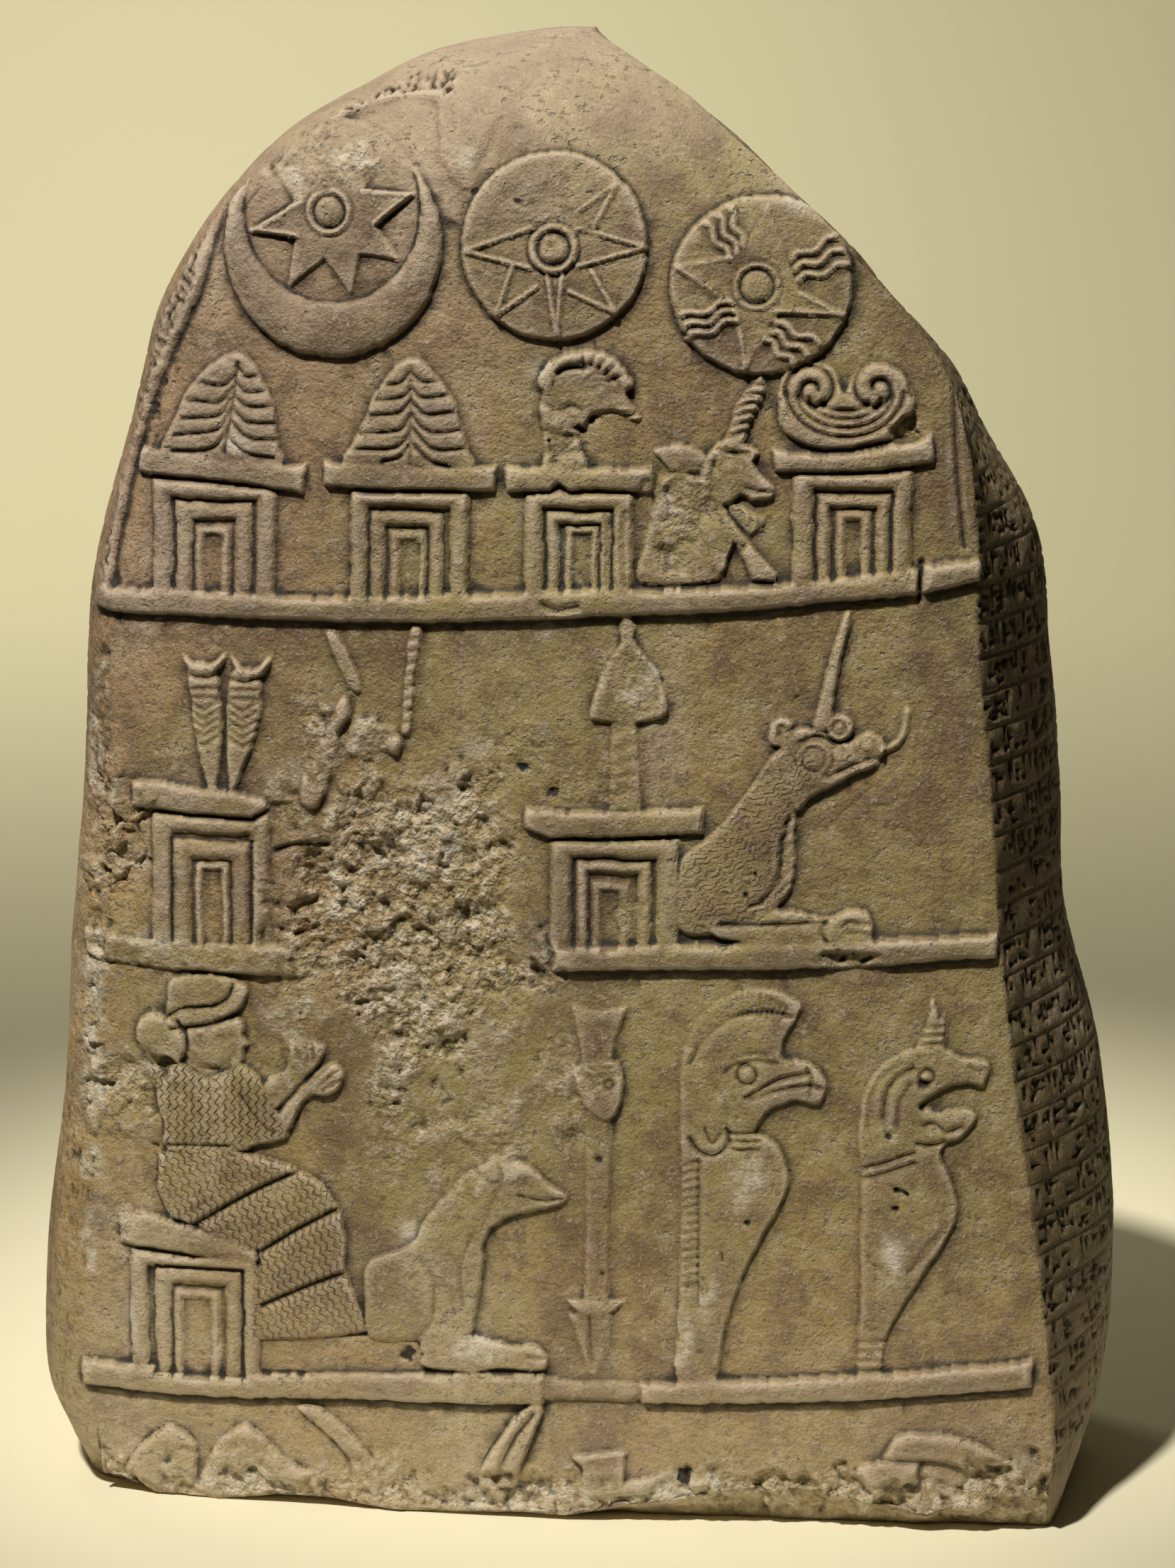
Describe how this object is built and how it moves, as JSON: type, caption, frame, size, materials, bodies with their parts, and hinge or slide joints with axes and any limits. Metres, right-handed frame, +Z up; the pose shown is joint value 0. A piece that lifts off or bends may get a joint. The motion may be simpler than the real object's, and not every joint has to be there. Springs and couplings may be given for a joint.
{
  "type": "carved boundary stone",
  "caption": "Upright round-topped limestone stele with a flat carved front: discs, altars, beasts and standing figures in low relief on ledges; rough sides, broken flat foot.",
  "frame": {"origin": "middle of the stone's footprint box, on the level underside that it stands on", "axes": "+Z up the stone, -Y out of the carved face, +X to the right of someone facing the carving"},
  "size_m": [0.304, 0.1596, 0.404],
  "materials": {
    "limestone": "worn matt yellow-brown limestone"
  },
  "bodies": {
    "root": {"kudurru_stone": "limestone"}
  },
  "joints": []
}
